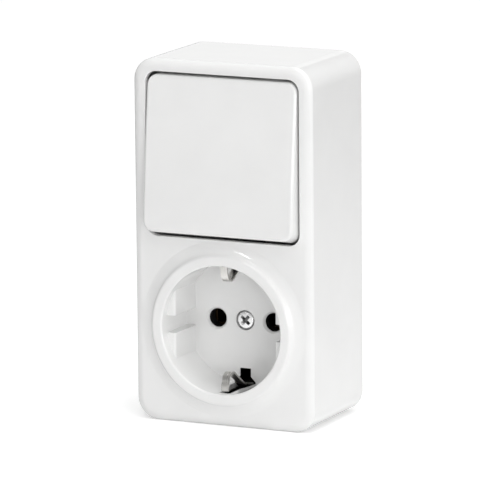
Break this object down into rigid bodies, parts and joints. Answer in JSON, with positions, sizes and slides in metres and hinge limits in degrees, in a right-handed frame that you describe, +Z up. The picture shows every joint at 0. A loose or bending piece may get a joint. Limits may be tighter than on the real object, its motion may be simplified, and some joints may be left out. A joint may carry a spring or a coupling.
{
  "type": "switch and socket combination",
  "caption": "Surface-mounted white light switch with a large tilting rocker above a round recessed earthed wall socket with side earth clips, in one rounded housing.",
  "frame": {"origin": "centre of the back face, which lies on the wall", "axes": "+Y into the wall, +X to the viewer's right, +Z up; the rocker is above the socket"},
  "size_m": [0.0598, 0.041, 0.1124],
  "materials": {
    "white_plastic": "smooth glossy white moulding",
    "base_plastic": "matte light grey moulding",
    "insert_plastic": "matte black moulding",
    "brass": "stamped, satin",
    "nickel": "nickel-plated spring strip",
    "screw_steel": "bright zinc-plated"
  },
  "bodies": {
    "casing": {"housing": "white_plastic", "base_plate": "base_plastic", "switch_body": "insert_plastic", "socket_body": "insert_plastic", "upper_contact": "brass", "lower_contact": "brass", "common_contact": "brass", "contact_sleeve_left": "brass", "contact_sleeve_right": "brass", "switch_clamp_1": "brass", "switch_clamp_2": "brass", "switch_clamp_3": "brass", "socket_clamp_1": "brass", "socket_clamp_2": "brass", "earth_strap": "nickel", "socket_clamp_3": "nickel", "cover_screw": "screw_steel", "switch_terminal_screw_1": "screw_steel", "switch_terminal_screw_2": "screw_steel", "switch_terminal_screw_3": "screw_steel", "socket_terminal_screw_1": "screw_steel", "socket_terminal_screw_2": "screw_steel", "socket_terminal_screw_3": "screw_steel", "switch_fixing_screw_1": "screw_steel", "switch_fixing_screw_2": "screw_steel", "socket_fixing_screw_1": "screw_steel", "socket_fixing_screw_2": "screw_steel"},
    "rocker": {"rocker": "white_plastic", "switch_toggle": "insert_plastic", "plunger": "insert_plastic", "toggle_spring": "screw_steel"},
    "lever": {"contact_lever": "brass"}
  },
  "joints": [
    {"name": "rocker_tilt", "type": "hinge", "parent": "casing", "child": "rocker", "pos_m": [0, -0.0329, 0.0269], "axis": [1, 0, 0], "range_deg": [0, 10.6]},
    {"name": "lever_tilt", "type": "hinge", "parent": "casing", "child": "lever", "pos_m": [0, -0.023, 0.0269], "axis": [1, 0, 0], "range_deg": [-14, 0]}
  ],
  "couplings": [
    {"joint": "lever_tilt", "follows": "rocker_tilt", "ratio": -1.32}
  ]
}
